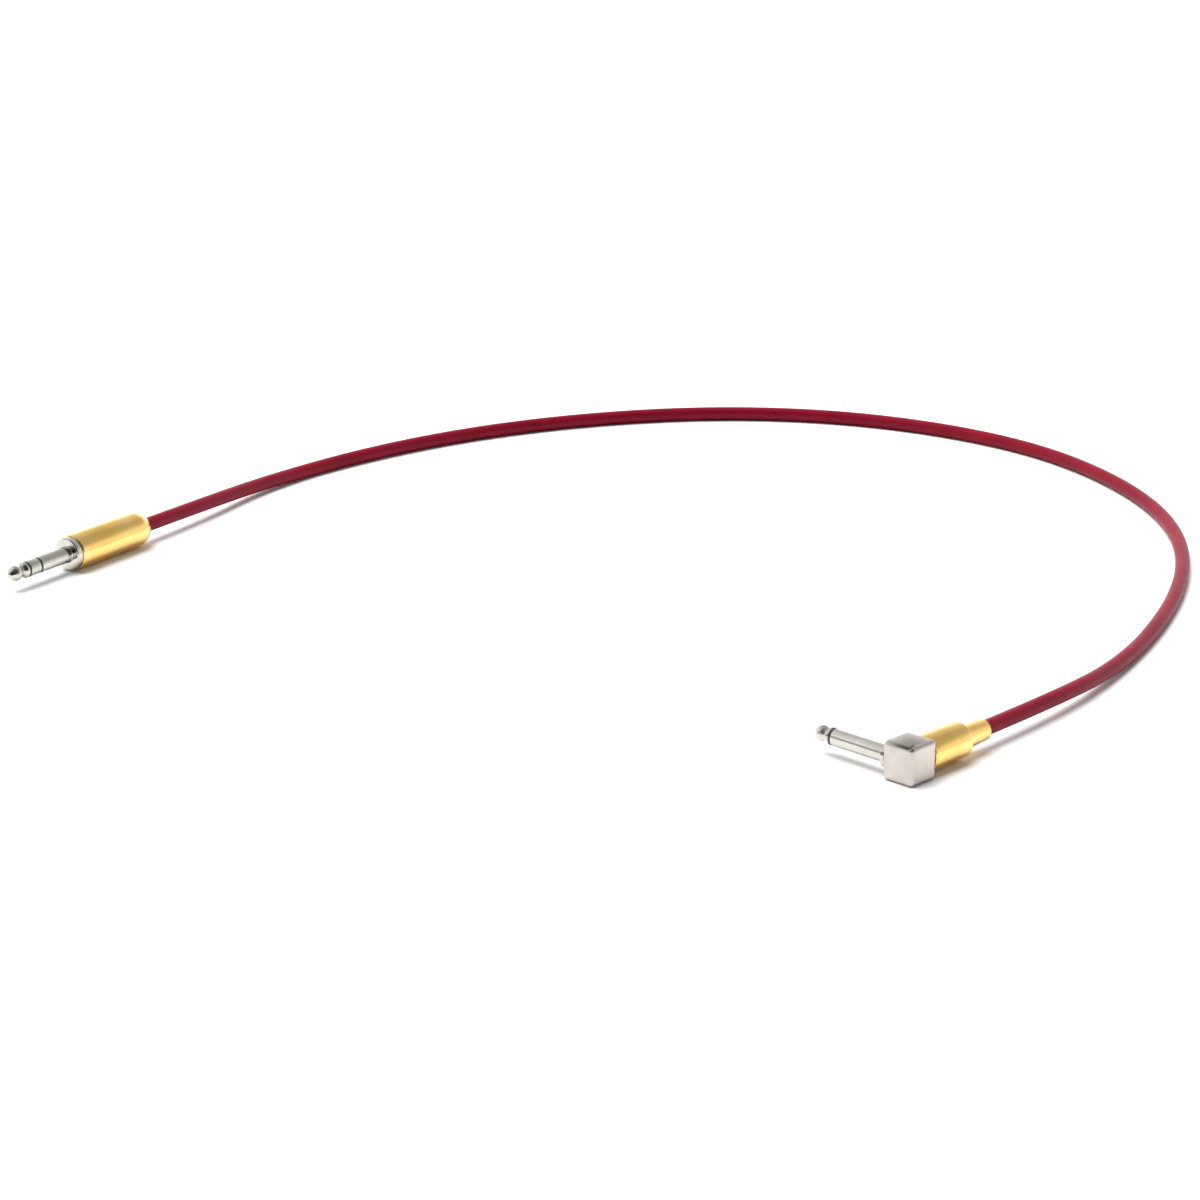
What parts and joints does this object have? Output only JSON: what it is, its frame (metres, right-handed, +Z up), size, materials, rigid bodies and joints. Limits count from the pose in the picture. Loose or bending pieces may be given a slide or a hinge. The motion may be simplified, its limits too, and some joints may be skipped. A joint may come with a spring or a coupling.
{
  "type": "instrument cable",
  "caption": "Shielded instrument cable with a gold-shelled straight three-contact plug and a nickel right-angle two-contact plug with a gold cable sleeve.",
  "frame": {"origin": "on the floor under the middle of the box that holds both plugs", "axes": "+Z up, +Y away from the plugs towards the top of the cable arc, +X towards the right-angle plug"},
  "size_m": [0.4543, 0.435, 0.014],
  "materials": {
    "nickel": "polished nickel plate",
    "satin_nickel": "satin nickel plate on die-cast zinc",
    "gold": "polished pale gold plate",
    "black_nylon": "moulded black nylon",
    "white_nylon": "moulded natural nylon",
    "clear_plastic": "smoky insulating tube",
    "fibre": "grey insulating fibre",
    "tinned_brass": "tinned brass stamping",
    "red_jacket": "satin burgundy-red PVC",
    "copper": "bare copper strand",
    "core_insulation": "natural polyethylene",
    "solder": "bright solder"
  },
  "bodies": {
    "cable": {"straight_tip_contact": "nickel", "straight_ring_contact": "nickel", "straight_sleeve_contact": "nickel", "straight_front_insulator": "black_nylon", "straight_rear_insulator": "black_nylon", "straight_ring_washer": "black_nylon", "straight_tip_washer": "black_nylon", "straight_ring_terminal": "tinned_brass", "straight_tip_terminal": "tinned_brass", "straight_ground_terminal": "tinned_brass", "angle_tip_contact": "nickel", "angle_tip_insulator": "black_nylon", "angle_sleeve_contact": "nickel", "angle_body": "satin_nickel", "angle_terminal_washer": "black_nylon", "angle_tip_terminal": "tinned_brass", "cable_jacket": "red_jacket", "cable_shield": "copper", "cable_insulation": "core_insulation", "cable_conductor": "copper", "straight_pigtail": "copper", "angle_pigtail": "copper", "straight_tip_solder": "solder", "straight_ground_solder": "solder", "angle_tip_solder": "solder", "angle_ground_solder": "solder"},
    "straight_liner": {"straight_shell_liner": "clear_plastic"},
    "straight_shell": {"straight_shell": "gold"},
    "angle_collet": {"angle_collet": "white_nylon"},
    "angle_sleeve": {"angle_sleeve": "gold"},
    "angle_cover": {"angle_cover": "satin_nickel", "angle_cover_sheet": "fibre"}
  },
  "joints": [
    {"name": "straight_shell_slide", "type": "slide", "parent": "cable", "child": "straight_liner", "axis": [0.5878, 0.809, 0], "range_m": [0, 0.006]},
    {"name": "straight_shell_turn", "type": "hinge", "parent": "straight_liner", "child": "straight_shell", "pos_m": [-0.14547, 0.11256, 0.0069], "axis": [0.5878, 0.809, 0], "range_deg": [0, 2160]},
    {"name": "angle_sleeve_slide", "type": "slide", "parent": "cable", "child": "angle_collet", "axis": [0.6921, 0.7218, 0], "range_m": [0, 0.006]},
    {"name": "angle_sleeve_turn", "type": "hinge", "parent": "angle_collet", "child": "angle_sleeve", "pos_m": [0.16498, -0.10668, 0.007], "axis": [0.6921, 0.7218, 0], "range_deg": [0, 2160]},
    {"name": "angle_cover_slide", "type": "slide", "parent": "cable", "child": "angle_cover", "axis": [0.7218, -0.6921, 0], "range_m": [0, 0.012]}
  ],
  "couplings": [
    {"joint": "straight_shell_turn", "follows": "straight_shell_slide", "rad_per_m": 6283.2},
    {"joint": "angle_sleeve_turn", "follows": "angle_sleeve_slide", "rad_per_m": 6283.2}
  ]
}
